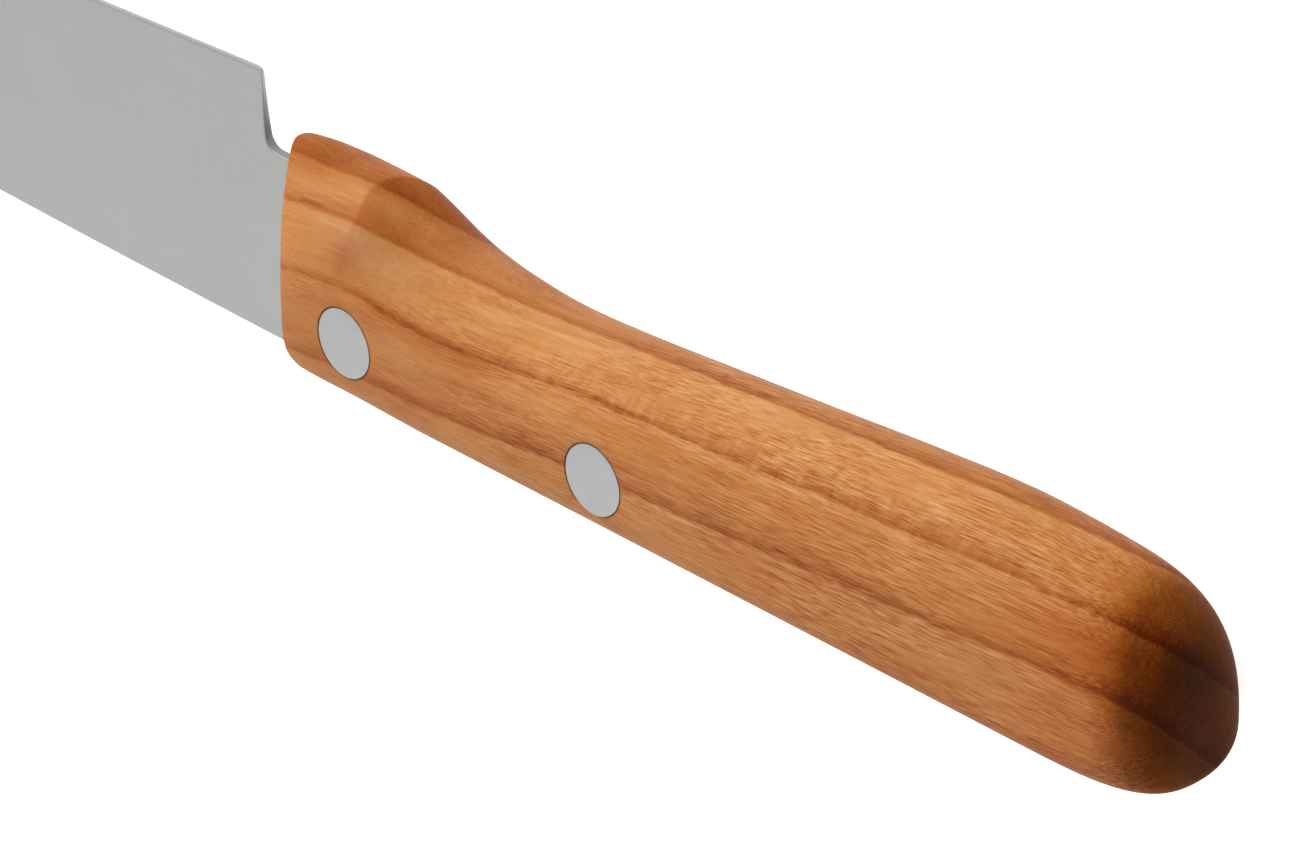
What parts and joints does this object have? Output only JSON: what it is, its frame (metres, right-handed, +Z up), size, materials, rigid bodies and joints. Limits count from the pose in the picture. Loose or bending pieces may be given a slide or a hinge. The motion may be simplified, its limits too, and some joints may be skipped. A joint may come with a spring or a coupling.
{
  "type": "petty knife",
  "caption": "Petty knife: thin satin steel blade with a squared heel, its partial tang riveted into a one-piece wooden handle with a finger guard, finger recess and rounded butt.",
  "frame": {"origin": "bottom centre of the bounding box of the knife lying on its side", "axes": "+X along the knife to the tip, +Y across the blade to the spine, +Z up, square to the blade's side"},
  "size_m": [0.2288, 0.0256, 0.0146],
  "materials": {
    "blade_steel": "fine satin grinding, matt grey",
    "handle_wood": "oiled fruit wood, orange brown with darker growth rings along the handle",
    "rivet_aluminium": "ground flush, fine matt"
  },
  "bodies": {
    "root": {"blade": "blade_steel", "handle": "handle_wood", "rivet_front": "rivet_aluminium", "rivet_rear": "rivet_aluminium"}
  },
  "joints": []
}
